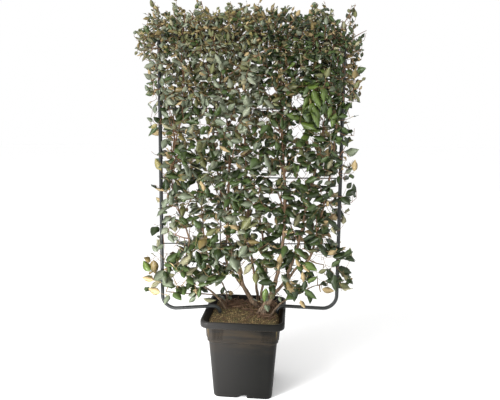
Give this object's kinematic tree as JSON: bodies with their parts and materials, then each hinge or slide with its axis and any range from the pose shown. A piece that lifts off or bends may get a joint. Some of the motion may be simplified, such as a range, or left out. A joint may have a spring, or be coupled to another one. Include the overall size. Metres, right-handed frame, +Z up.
{
  "type": "potted espaliered silverberry",
  "caption": "Evergreen silverberry trained flat on a tube frame with cross rods, growing in a square black nursery pot.",
  "frame": {"origin": "centre of the bounding box's footprint, on the surface that the pot stands on", "axes": "+Z up, +X along the flat panel to the viewer's right, +Y through the panel to its back"},
  "size_m": [0.8915, 0.3648, 1.5765],
  "materials": {
    "pot_plastic": "satin moulded",
    "soil_mix": "loose grains",
    "frame_paint": "satin",
    "tie_band": "matte",
    "bark": "rough bark",
    "leaves": "leathery"
  },
  "bodies": {
    "root": {"bough_far_right": "bark", "foliage_row1_1": "leaves", "foliage_row1_2": "leaves", "foliage_row2_1": "leaves", "foliage_row2_2": "leaves", "foliage_row2_3": "leaves", "foliage_row2_4": "leaves", "foliage_row3_1": "leaves", "foliage_row3_2": "leaves", "foliage_row3_3": "leaves", "foliage_row3_4": "leaves", "foliage_row4_1": "leaves", "foliage_row4_2": "leaves", "foliage_row4_3": "leaves", "foliage_row4_4": "leaves", "foliage_row5_1": "leaves", "foliage_row5_2": "leaves", "foliage_row5_3": "leaves", "foliage_row5_4": "leaves", "foliage_row6_1": "leaves", "foliage_row6_2": "leaves", "foliage_row6_3": "leaves", "foliage_row6_4": "leaves", "foliage_row7_1": "leaves", "foliage_row7_2": "leaves", "foliage_row7_3": "leaves", "foliage_row7_4": "leaves", "foliage_row8_1": "leaves", "foliage_row8_2": "leaves", "foliage_row8_3": "leaves", "foliage_row8_4": "leaves", "frame_arm_left": "frame_paint", "frame_arm_right": "frame_paint", "frame_corner_left": "frame_paint", "frame_corner_right": "frame_paint", "frame_top_bar": "frame_paint", "frame_upright_left": "frame_paint", "frame_upright_right": "frame_paint", "pot": "pot_plastic", "rod_across_1": "frame_paint", "rod_across_2": "frame_paint", "rod_across_3": "frame_paint", "rod_upright_left": "frame_paint", "rod_upright_right": "frame_paint", "shoot_low_left": "bark", "shoot_low_right": "bark", "soil": "soil_mix", "stem_far_left": "bark", "stem_left": "bark", "stem_main_left": "bark", "stem_main_right": "bark", "stem_mid_left": "bark", "stem_mid_right": "bark", "stem_middle": "bark", "stem_right": "bark", "tie_clip": "tie_band"}
  },
  "joints": []
}
